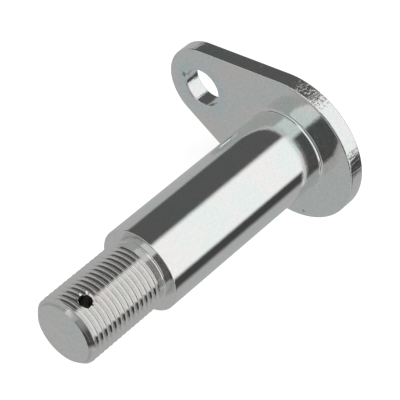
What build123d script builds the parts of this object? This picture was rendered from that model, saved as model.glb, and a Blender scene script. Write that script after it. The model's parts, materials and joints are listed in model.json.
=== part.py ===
from build123d import *
import os

# Steering link pin, one piece of zinc-plated steel. A teardrop retaining plate carries a round shank,
# which steps down at a shoulder to a threaded end that is drilled across for a split pin.
# Millimetres. +Z runs up the pin, and the lobe with the bolt hole points along -X.
# The origin is where the pin's axis crosses the plate's back face.

# Retaining plate
plate_thickness = 6.5
plate_radius = 27.0
lobe_radius = 15.0
lobe_reach = 36.0
front_edge_radius = 0.8

# Hole for the bolt that holds the plate to the axle
bolt_hole_diameter = 14.0
bolt_hole_reach = 36.5
bolt_hole_edge_radius = 0.6

# Shank, measured from the plate's front face
shank_diameter = 30.0
shank_length = 72.0
root_fillet_radius = 1.0
shoulder_edge_break = 0.25

# Threaded end, measured from the shoulder. The fine thread itself is not cut.
thread_diameter = 24.0
threaded_end_length = 34.5
relief_diameter = 21.0
relief_length = 2.5
relief_corner_radius = 0.6
end_chamfer = 1.6

# Split-pin hole, right through the threaded end
split_pin_hole_diameter = 4.5
split_pin_rim_diameter = 7.0
split_pin_from_end = 7.3
split_pin_turn = 84.5
cutter_clearance = 1.0

# Heights and radii that follow from the sizes above
shank_radius = shank_diameter / 2
thread_radius = thread_diameter / 2
relief_radius = relief_diameter / 2
shoulder_z = plate_thickness + shank_length
relief_ramp = thread_radius - relief_radius
end_z = shoulder_z + threaded_end_length
split_pin_z = end_z - split_pin_from_end


def plate_outline():
    """The teardrop: a large round on the pin's axis, a lobe round the bolt hole, and straight sides."""
    with BuildSketch() as outline:
        Circle(plate_radius)
        with Locations((-lobe_reach, 0)):
            Circle(lobe_radius)
        make_hull()
    return outline.sketch


def retaining_plate():
    """The plate has a soft front edge, a sharp back edge and a bolt hole with a soft front rim."""
    with BuildPart() as plate:
        add(plate_outline())
        extrude(amount=plate_thickness)
        front = plate.faces().sort_by(Axis.Z)[-1]
        fillet(front.edges(), radius=front_edge_radius)
        with BuildSketch():
            with Locations((-bolt_hole_reach, 0)):
                Circle(bolt_hole_diameter / 2)
        extrude(amount=plate_thickness, mode=Mode.SUBTRACT)
        rims = plate.edges().filter_by(GeomType.CIRCLE).group_by(Axis.Z)[-1]
        rim = rims.filter_by(lambda edge: abs(edge.radius - bolt_hole_diameter / 2) < 1e-3)
        fillet(rim, radius=bolt_hole_edge_radius)
    return plate.part


def turned_profile():
    """Half section of the pin in the XZ plane: root fillet, shank, shoulder, relief groove, threaded end."""
    foot_radius = shank_radius + root_fillet_radius
    groove_end_z = shoulder_z + relief_length
    with BuildSketch(Plane.XZ) as section:
        with BuildLine():
            base = Polyline((foot_radius, plate_thickness), (foot_radius, 0), (0, 0), (0, end_z),
                            (thread_radius - end_chamfer, end_z), (thread_radius, end_z - end_chamfer),
                            (thread_radius, groove_end_z + relief_ramp), (relief_radius, groove_end_z),
                            (relief_radius, shoulder_z + relief_corner_radius))
            corner = RadiusArc(base @ 1, (relief_radius + relief_corner_radius, shoulder_z),
                               relief_corner_radius)
            shank = Polyline(corner @ 1, (shank_radius - shoulder_edge_break, shoulder_z),
                             (shank_radius, shoulder_z - shoulder_edge_break),
                             (shank_radius, plate_thickness + root_fillet_radius))
            RadiusArc(shank @ 1, base @ 0, root_fillet_radius)
        make_face()
    return section.sketch


def split_pin_hole():
    """A drill and a countersink at both ends, on an axis that crosses the threaded end."""
    hole_radius = split_pin_hole_diameter / 2
    outer_radius = split_pin_rim_diameter / 2 + cutter_clearance
    reach = thread_radius + cutter_clearance
    rim_length = outer_radius - hole_radius
    rim = Pos(Z=reach - rim_length / 2) * Cone(hole_radius, outer_radius, rim_length)
    cutter = Cylinder(hole_radius, 2 * reach) + rim + mirror(rim, Plane.XY)
    return Pos(Z=split_pin_z) * Rot(Z=split_pin_turn) * Rot(Y=90) * cutter


def link_pin():
    """The plate and the pin are one piece of metal, and the split-pin hole is drilled through it last."""
    pin = revolve(turned_profile(), axis=Axis.Z)
    return retaining_plate() + pin - split_pin_hole()


os.makedirs("parts", exist_ok=True)
export_step(link_pin(), "parts/link_pin.step")
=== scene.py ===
import json
import math
import bmesh
import bpy
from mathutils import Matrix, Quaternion, Vector


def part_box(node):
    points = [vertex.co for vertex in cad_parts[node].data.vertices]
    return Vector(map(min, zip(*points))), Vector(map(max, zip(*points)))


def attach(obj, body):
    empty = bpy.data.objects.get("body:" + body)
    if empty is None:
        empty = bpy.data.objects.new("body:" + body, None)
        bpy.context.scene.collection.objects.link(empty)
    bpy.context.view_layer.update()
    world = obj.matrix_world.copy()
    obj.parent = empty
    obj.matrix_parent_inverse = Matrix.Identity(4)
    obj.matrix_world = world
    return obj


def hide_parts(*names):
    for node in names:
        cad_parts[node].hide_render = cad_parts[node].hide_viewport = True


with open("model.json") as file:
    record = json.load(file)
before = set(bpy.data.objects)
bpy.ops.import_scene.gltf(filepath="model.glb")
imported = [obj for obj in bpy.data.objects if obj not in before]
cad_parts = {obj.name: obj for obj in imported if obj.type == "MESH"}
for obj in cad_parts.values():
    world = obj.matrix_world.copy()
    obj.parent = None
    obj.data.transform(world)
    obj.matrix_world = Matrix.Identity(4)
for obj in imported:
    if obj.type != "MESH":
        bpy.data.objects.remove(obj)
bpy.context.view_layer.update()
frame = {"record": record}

low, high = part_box("link_pin")
mm = 0.001

# Steering link pin, one piece of zinc-plated steel: a teardrop plate, a ground shank, a shoulder, and a
# threaded end drilled across for a split pin. Metres, +Z up the pin, the lobe along -X.

mounts = {mount["name"]: mount for mount in frame["record"]["mounts"]}


def mount_size(name):
    """A mount's radius, and the heights where its wall starts and ends."""
    mount = mounts[name]
    half = mount["dims"]["length_mm"] * mm / 2
    return mount["dims"]["r_mm"] * mm, mount["pos_m"][2] - half, mount["pos_m"][2] + half


shank_radius, shank_foot, shank_top = mount_size("shank")
thread_radius, _, thread_top = mount_size("threaded_end")
bolt_hole_radius, _, bolt_hole_top = mount_size("bolt_hole")
split_pin_radius = mounts["split_pin_hole"]["dims"]["r_mm"] * mm
split_pin_place = Vector(mounts["split_pin_hole"]["pos_m"])
split_pin_axis = Vector(mounts["split_pin_hole"]["axis"])

# Plate
plate_top = mounts["seat_face"]["pos_m"][2]
plate_radius = high.x
lobe_radius = 15 * mm
lobe_reach = -low.x - lobe_radius
front_edge_radius = 0.8 * mm
back_edge_radius = 0.5 * mm
flat_margin = 0.3 * mm
die_roll_width = 5.0 * mm
die_roll_depth = 0.4 * mm
die_roll_steps = 8
bolt_hole_reach = -mounts["bolt_hole"]["pos_m"][0]

# Turned body
root_fillet_radius = shank_foot - plate_top
shoulder_edge_break = 0.25 * mm
shoulder_height = shank_top + shoulder_edge_break
relief_radius = 10.5 * mm
relief_length = 2.5 * mm
relief_corner_radius = 0.6 * mm
end_height = high.z
end_chamfer = end_height - thread_top

# Fine thread, a 60 degree form
pitch = 2 * mm
flank_angle = math.radians(30)
thread_depth = 0.61343 * pitch
root_radius = 0.144 * pitch
crest_flat = pitch / 8
crest_radius = 0.19 * mm
thread_start = -0.17 * mm
last_groove_depth = 0.12 * mm

# Split-pin hole
split_pin_rim_radius = 3.5 * mm
cutter_clearance = 1 * mm
countersink_start = thread_radius - 0.8 * mm
plating_start = thread_radius - 1.45 * mm

# Colours of the zinc and the bare bore, and tints that multiply the zinc's. The bore's colour is darkened as
# painted shade inside the split-pin hole, and the groove, root and dent tints are painted shade
zinc_colour = (0.86, 0.88, 0.87)
# Bare steel in the split-pin hole, darkened as painted shade inside the hole
shaded_bore_colour = (0.30, 0.32, 0.30)
rosy = (1.03, 0.99, 0.99)
bluish = (0.96, 1.0, 0.99)
stained = (0.93, 0.99, 1.03)
# Painted shade down in the thread's grooves
groove_shade_tint = (0.98, 0.945, 0.945)
# Painted shade at the thread's roots
root_shade_tint = (0.86, 0.84, 0.83)
# Painted shade of small dents on the plate
dent_shade_tint = (0.45, 0.47, 0.48)
spot_size = 0.9 * mm
cloud_size = 12 * mm
# Radii under which the groove shade and the root shade are painted
flank_shade_radius = 11.6 * mm
root_shade_radius = 11.0 * mm

# Places on the plate: x, y and reach
torn_patches = [(1.5 * mm, 27 * mm, 8 * mm), (22.3 * mm, 15.2 * mm, 1.4 * mm)]
# Small dents, each painted as a dark spot of shade
dent_shade_spots = [(-44.4 * mm, 0.4 * mm, 0.9 * mm), (12.45 * mm, -21 * mm, 0.5 * mm)]

ring_steps = 192
hole_steps = 96
round_steps = 6
hair = 0.001 * mm
smooth_below = math.radians(35)
facing_level = 0.9
facing_up = 0.99


def arc(centre, radius, first, last, steps=round_steps):
    """Points of (radius, height) on an arc, from one angle to another, in degrees."""
    turns = [math.radians(first + (last - first) * step / steps) for step in range(steps + 1)]
    return [(centre[0] + radius * math.cos(turn), centre[1] + radius * math.sin(turn)) for turn in turns]


def deselect():
    bpy.ops.object.select_all(action="DESELECT")


def start_outline(name, outline):
    """A new piece in edit mode: one point, drawn on through the outline's other points in the XZ plane."""
    deselect()
    bpy.ops.mesh.primitive_plane_add(size=mm)
    piece = bpy.context.active_object
    piece.name = piece.data.name = name
    bpy.ops.object.mode_set(mode="EDIT")
    bpy.ops.mesh.select_mode(type="VERT")
    bpy.ops.mesh.select_all(action="SELECT")
    bpy.ops.mesh.merge(type="CENTER")
    bpy.ops.transform.translate(value=(outline[0][0], 0, outline[0][1]))
    for here, there in zip(outline, outline[1:]):
        step = (there[0] - here[0], 0, there[1] - here[1])
        bpy.ops.mesh.extrude_region_move(TRANSFORM_OT_translate={"value": step})
    bpy.ops.mesh.select_all(action="SELECT")
    return piece


def clean_up():
    """Joins points that lie on each other and turns all faces outwards, still in edit mode."""
    bpy.ops.mesh.select_all(action="SELECT")
    bpy.ops.mesh.remove_doubles(threshold=hair)
    bpy.ops.mesh.normals_make_consistent(inside=False)


def turned(name, outline, steps=ring_steps):
    """Turns an outline of (radius, height) points round the Z axis, as on a lathe."""
    piece = start_outline(name, outline)
    bpy.ops.mesh.spin(steps=steps, angle=math.tau, center=(0, 0, 0), axis=(0, 0, 1), use_auto_merge=True)
    clean_up()
    bpy.ops.object.mode_set(mode="OBJECT")
    return piece


def pick(piece, kind, test):
    """In edit mode, selects the vertices, edges or faces that pass the test, and nothing else."""
    bpy.ops.mesh.select_mode(type=kind)
    bpy.ops.mesh.select_all(action="DESELECT")
    mesh = bmesh.from_edit_mesh(piece.data)
    for item in {"VERT": mesh.verts, "EDGE": mesh.edges, "FACE": mesh.faces}[kind]:
        item.select_set(test(item))
    mesh.select_flush_mode()
    bmesh.update_edit_mesh(piece.data)


def at_height(height):
    """A test for vertices, edges and faces that lie at one height."""
    def test(item):
        points = [item] if isinstance(item, bmesh.types.BMVert) else item.verts
        return all(abs(point.co.z - height) < hair for point in points)
    return test


def cut(piece, tool, operation):
    """Subtracts, adds or intersects the tool, and throws it away."""
    deselect()
    bpy.context.view_layer.objects.active = piece
    piece.select_set(True)
    bpy.ops.object.modifier_add(type="BOOLEAN")
    boolean = piece.modifiers[-1]
    boolean.operation = operation
    boolean.solver = "EXACT"
    boolean.object = tool
    bpy.ops.object.modifier_apply(modifier=boolean.name)
    bpy.data.objects.remove(tool)


def plate_blank():
    """A disc whose far side is shrunk and drawn out into the lobe, thickened, with its front edge rounded."""
    deselect()
    bpy.ops.mesh.primitive_circle_add(vertices=ring_steps, radius=plate_radius, fill_type="NGON")
    plate = bpy.context.active_object
    plate.name = plate.data.name = "link_pin_steel"
    bpy.ops.object.mode_set(mode="EDIT")
    tangent_point = -plate_radius * (plate_radius - lobe_radius) / lobe_reach
    pick(plate, "VERT", lambda point: point.co.x < tangent_point)
    shrink = lobe_radius / plate_radius
    bpy.ops.transform.resize(value=(shrink, shrink, 1), center_override=(0, 0, 0))
    bpy.ops.transform.translate(value=(-lobe_reach, 0, 0))
    rolled_top = plate_top - die_roll_depth
    bpy.ops.mesh.select_all(action="SELECT")
    bpy.ops.mesh.extrude_region_move(TRANSFORM_OT_translate={"value": (0, 0, rolled_top)})
    clean_up()
    pick(plate, "EDGE", at_height(rolled_top))
    bpy.ops.mesh.bevel(offset=front_edge_radius, segments=round_steps, profile=0.5, affect="EDGES")
    pick(plate, "EDGE", at_height(0))
    bpy.ops.mesh.bevel(offset=back_edge_radius, segments=2, profile=0.5, affect="EDGES")
    pick(plate, "FACE", at_height(rolled_top))
    for step in range(die_roll_steps):
        sunk, risen = (1 - step / die_roll_steps) ** 2, (1 - (step + 1) / die_roll_steps) ** 2
        bpy.ops.mesh.inset(thickness=die_roll_width / die_roll_steps, depth=die_roll_depth * (sunk - risen))
    bpy.ops.mesh.inset(thickness=flat_margin)
    bpy.ops.mesh.delete(type="FACE")
    bpy.ops.object.mode_set(mode="OBJECT")
    return plate


def shank_body():
    """Root fillet, shank, shoulder and relief groove, open at both ends."""
    foot = shank_radius + root_fillet_radius
    outline = [(foot + flat_margin, plate_top)]
    outline += arc((foot, shank_foot), root_fillet_radius, 270, 180)
    outline += [(shank_radius, shank_foot + flat_margin), (shank_radius, shank_top - flat_margin)]
    outline += arc((shank_radius - shoulder_edge_break, shank_top), shoulder_edge_break, 0, 90, 3)
    outline += arc((relief_radius + relief_corner_radius, shoulder_height + relief_corner_radius),
                   relief_corner_radius, 270, 180)
    outline += [(relief_radius, shoulder_height + relief_length)]
    return turned("shank_body", outline)


def thread_outline(height):
    """One pitch of the thread: half a rounded root, flank, crest with soft edges, flank, half a root."""
    floor = thread_radius - thread_depth + root_radius
    ceiling = thread_radius - crest_radius
    half_flat = (crest_flat / 2 + crest_radius * math.tan(flank_angle)
                 - crest_radius / math.cos(flank_angle))
    crest = height + pitch / 2
    outline = arc((floor, height), root_radius, 180, 120, 4)
    outline += arc((ceiling, crest - half_flat), crest_radius, -60, 0, 4)
    outline += arc((ceiling, crest + half_flat), crest_radius, 0, 60, 4)
    outline += arc((floor, height + pitch), root_radius, 240, 180, 4)
    return outline


def threaded_bar(foot, top):
    """The thread's outline wound up round the axis, right-handed, and faced off at both ends."""
    start = foot - 2 * pitch + thread_start
    turns = math.ceil((top - foot) / pitch) + 4
    bar = start_outline("threaded_bar", thread_outline(start))
    bpy.ops.object.mode_set(mode="OBJECT")
    bpy.ops.object.modifier_add(type="SCREW")
    winding = bar.modifiers[-1]
    winding.axis = "Z"
    winding.angle = math.tau
    winding.screw_offset = pitch
    winding.iterations = turns
    winding.steps = winding.render_steps = ring_steps
    bpy.ops.object.modifier_apply(modifier=winding.name)
    bpy.ops.object.mode_set(mode="EDIT")
    clean_up()
    for height, side in ((foot, 1), (top, -1)):
        bpy.ops.mesh.select_all(action="SELECT")
        bpy.ops.mesh.bisect(plane_co=(0, 0, height), plane_no=(0, 0, side), use_fill=True,
                            clear_inner=True, threshold=hair)
    clean_up()
    bpy.ops.object.mode_set(mode="OBJECT")
    return bar


def shallow_end():
    """A cone just under the chamfer, which leaves the thread's last groove shallow there."""
    bottom = thread_radius - thread_depth - hair
    middle = thread_radius - last_groove_depth
    chamfer_foot = end_height - end_chamfer
    top = end_height + pitch / 4
    return turned("shallow_end", [(0, chamfer_foot - middle + bottom), (bottom, chamfer_foot - middle + bottom),
                                  (middle, chamfer_foot), (middle - top + chamfer_foot, top), (0, top)])


def threaded_end():
    """The threaded bar, kept where it lies inside the turned end with its run-out and chamfer."""
    groove_end = shoulder_height + relief_length
    outside = thread_radius + flat_margin
    spare = outside - thread_radius
    end = threaded_bar(groove_end - pitch / 2, end_height + pitch / 2)
    cut(end, shallow_end(), "UNION")
    blank = turned("blank_end", [(0, groove_end), (relief_radius, groove_end),
                                 (outside, groove_end + outside - relief_radius),
                                 (outside, end_height - end_chamfer - spare),
                                 (thread_radius - end_chamfer, end_height), (0, end_height)])
    cut(blank, end, "INTERSECT")
    blank.name = "threaded_end"
    return blank


def bolt_hole_cutter():
    """A punch the size of the bolt hole, which widens smoothly at the front and a little at the back."""
    rim = plate_top - bolt_hole_top
    back_radius = bolt_hole_radius + back_edge_radius + cutter_clearance
    outline = [(0, -cutter_clearance), (back_radius, -cutter_clearance), (bolt_hole_radius, back_edge_radius)]
    outline += arc((bolt_hole_radius + rim, bolt_hole_top), rim, 180, 90)
    first, last = outline[-2], outline[-1]
    outline += [(last[0] + last[0] - first[0], last[1] + last[1] - first[1])]
    outline += [(outline[-1][0], plate_top + cutter_clearance), (0, plate_top + cutter_clearance)]
    cutter = turned("bolt_hole_cutter", outline, hole_steps)
    cutter.location.x = -bolt_hole_reach
    return cutter


def split_pin_cutter():
    """A drill with a countersink at both ends, laid across the threaded end."""
    reach = thread_radius + cutter_clearance
    half = [(split_pin_radius, plating_start), (split_pin_radius, countersink_start),
            (split_pin_rim_radius, thread_radius), (split_pin_rim_radius, reach), (0, reach)]
    outline = [(radius, -height) for radius, height in reversed(half)] + half
    cutter = turned("split_pin_cutter", outline, hole_steps)
    cutter.rotation_mode = "QUATERNION"
    cutter.rotation_quaternion = split_pin_axis.to_track_quat("Z", "Y")
    cutter.location = split_pin_place
    return cutter


def link_pin():
    """Plate, shank and threaded end become one closed piece, which is then punched and drilled."""
    pin = plate_blank()
    shank = shank_body()
    end = threaded_end()
    deselect()
    for piece in (shank, end, pin):
        piece.select_set(True)
    bpy.context.view_layer.objects.active = pin
    bpy.ops.object.join()
    bpy.ops.object.mode_set(mode="EDIT")
    pick(pin, "FACE", at_height(shoulder_height + relief_length))
    bpy.ops.mesh.delete(type="ONLY_FACE")
    bpy.ops.mesh.select_all(action="SELECT")
    bpy.ops.mesh.remove_doubles(threshold=hair)
    mouth = at_height(plate_top)
    pick(pin, "EDGE", lambda edge: edge.is_boundary and mouth(edge))
    bpy.ops.mesh.bridge_edge_loops()
    clean_up()
    bpy.ops.object.mode_set(mode="OBJECT")
    cut(pin, bolt_hole_cutter(), "DIFFERENCE")
    cut(pin, split_pin_cutter(), "DIFFERENCE")
    return pin


class Field:
    """A value or colour that changes over a surface: a node's output that can stand in a sum."""

    def __init__(self, tree, socket):
        self.tree = tree
        self.socket = socket

    def __add__(self, other):
        return maths(self.tree, "ADD", self, other)

    __radd__ = __add__

    def __mul__(self, other):
        return maths(self.tree, "MULTIPLY", self, other)

    __rmul__ = __mul__

    def __sub__(self, other):
        return maths(self.tree, "SUBTRACT", self, other)

    def __rsub__(self, other):
        return maths(self.tree, "SUBTRACT", other, self)


def node(tree, kind, settings=None, inputs=None, output=0):
    """Adds a node: first its settings, then the values or links of its sockets. Returns one output."""
    made = tree.nodes.new(kind)
    for name, value in (settings or {}).items():
        setattr(made, name, value)
    for name, value in (inputs or {}).items():
        if isinstance(value, Field):
            tree.links.new(value.socket, made.inputs[name])
        else:
            made.inputs[name].default_value = value
    return Field(tree, made.outputs[output]) if len(made.outputs) else made


def maths(tree, operation, *values):
    return node(tree, "ShaderNodeMath", {"operation": operation}, dict(enumerate(values)))


def step_up(field, edge, softness):
    """0 below the edge and 1 above it, with a smooth change between."""
    return node(field.tree, "ShaderNodeMapRange", {"interpolation_type": "SMOOTHSTEP"},
                {"Value": field, "From Min": edge - softness, "From Max": edge + softness})


def mix(tree, share, first, second):
    return node(tree, "ShaderNodeMix", {"data_type": "RGBA"},
                {"Factor": share, 6: colour(first), 7: colour(second)}, 2)


def colour(value):
    return value if isinstance(value, Field) else (*value, 1)


def object_place(tree):
    return node(tree, "ShaderNodeTexCoord", None, None, "Object")


def along(tree, place):
    """The three coordinates of a place, as fields."""
    split = node(tree, "ShaderNodeSeparateXYZ", None, {0: place}).socket.node
    return [Field(tree, output) for output in split.outputs]


def vector(tree, x, y, z):
    return node(tree, "ShaderNodeCombineXYZ", None, {0: x, 1: y, 2: z})


def unrolled(tree, place, stretch):
    """Lays the pin's surface out flat: round the axis, shortened by the stretch, and along it."""
    x, y, z = along(tree, place)
    radius = maths(tree, "SQRT", x * x + y * y)
    return vector(tree, maths(tree, "ARCTAN2", y, x) * (shank_radius / stretch), z, radius)


def noise(tree, place, size, detail=2):
    """A field of soft spots of about this size, between 0 and 1."""
    return node(tree, "ShaderNodeTexNoise", None, {"Vector": place, "Scale": 1 / size, "Detail": detail})


def tinted(base, tint):
    """A field of colours, times a tint."""
    return node(base.tree, "ShaderNodeMix", {"data_type": "RGBA", "blend_type": "MULTIPLY"},
                {"Factor": 1, 6: base, 7: colour(tint)}, 2)


def distance(tree, place, x, y):
    """How far a place lies from an upright line through x and y."""
    here = along(tree, place)
    return maths(tree, "SQRT", (here[0] - x) * (here[0] - x) + (here[1] - y) * (here[1] - y))


def clouded(tree, place, softness=0.15):
    """Zinc whose passivation varies softly between rosy and bluish."""
    clouds = step_up(noise(tree, place, cloud_size, 1), 0.5, softness)
    return mix(tree, clouds, tuple(a * b for a, b in zip(zinc_colour, rosy)),
               tuple(a * b for a, b in zip(zinc_colour, bluish)))


def stained_ring_and_dent_shade(tree, place):
    """Clouded zinc with a faint bluish ring round the bolt hole, and painted shade of small dents: dark spots
    where the plate is nicked.
    """
    base = clouded(tree, place)
    reach = distance(tree, place, -bolt_hole_reach, 0)
    ring = step_up(reach, 7.6 * mm, 0.8 * mm) * (1 - step_up(reach, 10.5 * mm, 1.5 * mm))
    base = mix(tree, ring, base, tinted(base, stained))
    for dent_shade_x, dent_shade_y, size in dent_shade_spots:
        outside = step_up(distance(tree, place, dent_shade_x, dent_shade_y) + noise(tree, place, spot_size, 3) * spot_size,
                          size + spot_size / 2, 0.3 * mm)
        # Painted shade: darkens the zinc at each dent
        base = mix(tree, outside, tinted(base, dent_shade_tint), base)
    return base


def shaded_grooves(tree, place):
    """Clouded zinc with painted shade: darker down in the thread's grooves, and darker still at their roots."""
    base = clouded(tree, place, 0.5)
    radius = distance(tree, place, 0, 0)
    flank = mix(tree, step_up(radius, flank_shade_radius, 0.5 * mm), tinted(base, groove_shade_tint), base)
    return mix(tree, step_up(radius, root_shade_radius, 0.15 * mm), tinted(flank, root_shade_tint), flank)


def bare_steel_and_shade(tree, place):
    """Bare steel where the zinc has not reached, one colour all over, darkened as painted shade inside the
    split-pin hole.
    """
    return mix(tree, 0, shaded_bore_colour, shaded_bore_colour)


def zinc(name, roughness, haze, dullness, shade, relief, height):
    """Zinc plate with fine spots, some hazier and some duller, in a shade and over a relief of its own."""
    material = bpy.data.materials.new(name)
    material.use_nodes = True
    tree = material.node_tree
    tree.nodes.clear()
    place = object_place(tree)
    spots = noise(tree, place, spot_size, 3)
    base = shade(tree, place)
    tint = mix(tree, step_up(spots, 0.5, 0.3), tinted(base, [1 - dullness] * 3), base)
    bump = node(tree, "ShaderNodeBump", None,
                {"Strength": 1, "Distance": height, "Height": relief(tree, place)})
    shader = node(tree, "ShaderNodeBsdfPrincipled", None,
                  {"Base Color": tint, "Metallic": 1, "Roughness": spots * haze + roughness, "Normal": bump})
    node(tree, "ShaderNodeOutputMaterial", None, {"Surface": shader})
    return material


def ground_marks(tree, place):
    """Fine marks round the pin, as grinding leaves, over a slight waviness."""
    return (noise(tree, unrolled(tree, place, 30), 0.35 * mm) * 0.5
            + noise(tree, place, 2.5 * mm, 0) * 0.5)


def turned_marks(tree, place):
    """Coarser marks round the pin, as turning leaves."""
    return noise(tree, unrolled(tree, place, 20), 0.4 * mm)


def rolled_skin(tree, place):
    """The slightly pebbled skin of hot-rolled plate under zinc."""
    return noise(tree, place, 1.3 * mm, 4)


def torn_marks(tree, place):
    """Streaks through the plate's thickness, as a punch leaves on the wall that it shears."""
    x, y, z = along(tree, place)
    streaks = (noise(tree, vector(tree, x, y, z * 0.15), 0.8 * mm, 3) * 0.11
               + noise(tree, place, 2 * mm, 4) * 0.1)
    craters = step_up(noise(tree, place, 1.1 * mm, 3), 0.57, 0.08) * 0.16
    for patch_x, patch_y, reach in torn_patches:
        patch = 1 - step_up(distance(tree, place, patch_x, patch_y), reach * 0.8, reach * 0.3)
        streaks = streaks + craters * patch
    return streaks


# Each finish: name, roughness, haze and dullness of its spots, shade, relief and the relief's height
finishes = [
    ("ground_zinc", 0.02, 0.12, 0.07, clouded, ground_marks, 0.02 * mm),
    # The plate's colour carries painted shade at its dents
    ("plate_zinc", 0.05, 0.14, 0.13, stained_ring_and_dent_shade, rolled_skin, 0.022 * mm),
    ("blanked_zinc", 0.04, 0.1, 0.1, clouded, torn_marks, 0.8 * mm),
    ("turned_zinc", 0.06, 0.06, 0.12, clouded, turned_marks, 0.006 * mm),
    # The thread's colour carries painted shade in its grooves and at their roots
    ("thread_zinc", 0.03, 0.06, 0.08, shaded_grooves, turned_marks, 0.002 * mm),
    # The bore's dark colour is partly painted shade inside the split-pin hole
    ("bare_bore", 0.4, 0, 0, bare_steel_and_shade, turned_marks, 0.01 * mm),
]


def finish_name(face):
    """Which of the finishes a face has, by its place and the way it faces."""
    middle, normal = face.calc_center_median(), face.normal
    out = middle - split_pin_place
    along_split_pin = out.dot(split_pin_axis)
    off_split_pin = (out - along_split_pin * split_pin_axis).length
    if off_split_pin < split_pin_radius + 10 * hair and abs(along_split_pin) < plating_start:
        return "bare_bore"
    if middle.z > shoulder_height + relief_length + hair and normal.z < facing_up:
        return "thread_zinc"
    if middle.z > shank_top:
        return "turned_zinc"
    if middle.z > plate_top + hair:
        return "ground_zinc"
    if abs(normal.z) > facing_level:
        return "plate_zinc"
    return "blanked_zinc"


def paint(piece):
    """Gives every face its finish."""
    piece.data.materials.clear()
    for finish in finishes:
        piece.data.materials.append(zinc(*finish))
    bpy.ops.object.mode_set(mode="EDIT")
    for index, finish in enumerate(finishes):
        pick(piece, "FACE", lambda face: finish_name(face) == finish[0])
        piece.active_material_index = index
        bpy.ops.object.material_slot_assign()
    bpy.ops.object.mode_set(mode="OBJECT")


# A plain studio: grey all round, and a few neutral cards in front of it. Each has its bearings and its heights
# in degrees, its brightness and the softness of its edges, and a later card stands in front of an earlier one.
surround = 0.45
studio_cards = [
    ("ceiling", (-200, 200), (60, 100), 0.35, 5),
    ("floor shade", (-200, 200), (-100, -60), 0.12, 4),
    ("left flag", (-35, -4), (-60, 60), 0.06, 8),
    ("right flag", (97, 172), (-60, 28), 0.10, 5),
    ("soft box", (-5, 93), (-60, 28), 1.0, 6),
    ("upper flag", (-25, 75), (28, 60), 0.08, 6),
    ("upper soft box", (78, 133), (28, 60), 0.8, 4),
    ("left strip", (-45, 0), (14, 28), 0.9, 4),
    ("right strip", (95, 172), (14, 28), 0.7, 4),
]


def between(field, ends, softness):
    """1 between the two ends and 0 outside them, with smooth changes."""
    return step_up(field, ends[0], softness) * (1 - step_up(field, ends[1], softness))


def studio_world():
    """Grey surround and cards, and white where the camera looks past the pin."""
    world = bpy.data.worlds.new("studio")
    bpy.context.scene.world = world
    world.use_nodes = True
    tree = world.node_tree
    tree.nodes.clear()
    x, y, z = along(tree, node(tree, "ShaderNodeTexCoord"))
    azimuth = maths(tree, "ARCTAN2", y, x) * math.degrees(1)
    elevation = maths(tree, "ARCSINE", z) * math.degrees(1)
    room = [surround] * 3
    for name, bearings, heights, brightness, softness in studio_cards:
        seen = between(azimuth, bearings, softness) * between(elevation, heights, softness)
        room = mix(tree, seen, room, [brightness] * 3)
    backdrop = mix(tree, node(tree, "ShaderNodeLightPath"), room, (1, 1, 1))
    background = node(tree, "ShaderNodeBackground", None, {"Color": backdrop, "Strength": 1})
    node(tree, "ShaderNodeOutputWorld", None, {"Surface": background})


def floor():
    """A plain pale floor that takes the pin's shadow and looks white to the camera."""
    deselect()
    bpy.ops.mesh.primitive_plane_add(size=4)
    ground = bpy.context.active_object
    ground.name = "floor"
    material = bpy.data.materials.new("pale floor")
    material.use_nodes = True
    tree = material.node_tree
    tree.nodes.clear()
    paper = node(tree, "ShaderNodeBsdfDiffuse", None, {"Color": (0.8, 0.8, 0.8, 1)})
    glow = node(tree, "ShaderNodeEmission", None, {"Color": (1, 1, 1, 1), "Strength": 1})
    seen = node(tree, "ShaderNodeLightPath")
    glow_share = 0.9
    mixed = node(tree, "ShaderNodeMixShader", None, {0: seen * glow_share, 1: paper, 2: glow})
    node(tree, "ShaderNodeOutputMaterial", None, {"Surface": mixed})
    ground.data.materials.append(material)
    ground.visible_glossy = False


def camera():
    """The camera looks at a point near the middle of the pin, from the photograph's side and height."""
    azimuth, elevation, roll = math.radians(66.664), math.radians(32.938), math.radians(-129.442)
    viewing_distance = 637.58 * mm
    look_at = Vector((-4.594, 1.982, 44.742)) * mm
    back = Vector((math.cos(elevation) * math.cos(azimuth), math.cos(elevation) * math.sin(azimuth),
                   math.sin(elevation)))
    lens = bpy.data.cameras.new("camera")
    lens.lens = 180.23
    eye = bpy.data.objects.new("camera", lens)
    bpy.context.scene.collection.objects.link(eye)
    eye.location = look_at + viewing_distance * back
    eye.rotation_mode = "QUATERNION"
    eye.rotation_quaternion = (-back).to_track_quat("-Z", "Y") @ Quaternion((0, 0, 1), roll)
    bpy.context.scene.camera = eye


def lamp(name, place, size, power):
    """A round soft lamp that points at the origin."""
    light = bpy.data.lights.new(name, "AREA")
    light.shape = "DISK"
    light.size = size
    light.energy = power
    holder = bpy.data.objects.new(name, light)
    bpy.context.scene.collection.objects.link(holder)
    holder.location = place
    holder.rotation_mode = "QUATERNION"
    holder.rotation_quaternion = (-Vector(place)).to_track_quat("-Z", "Y")
    holder.visible_glossy = False


bpy.context.scene.view_settings.view_transform = "Standard"
pin = link_pin()
deselect()
pin.select_set(True)
bpy.context.view_layer.objects.active = pin
bpy.ops.object.shade_smooth_by_angle(angle=smooth_below)
bpy.ops.object.modifier_add(type="WEIGHTED_NORMAL")
pin.modifiers[-1].keep_sharp = True
bpy.ops.object.modifier_apply(modifier=pin.modifiers[-1].name)
paint(pin)
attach(pin, "root")
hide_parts("link_pin")
studio_world()
floor()
camera()
lamp("key lamp", (0.5, 0.6, 1.0), 0.6, 70)
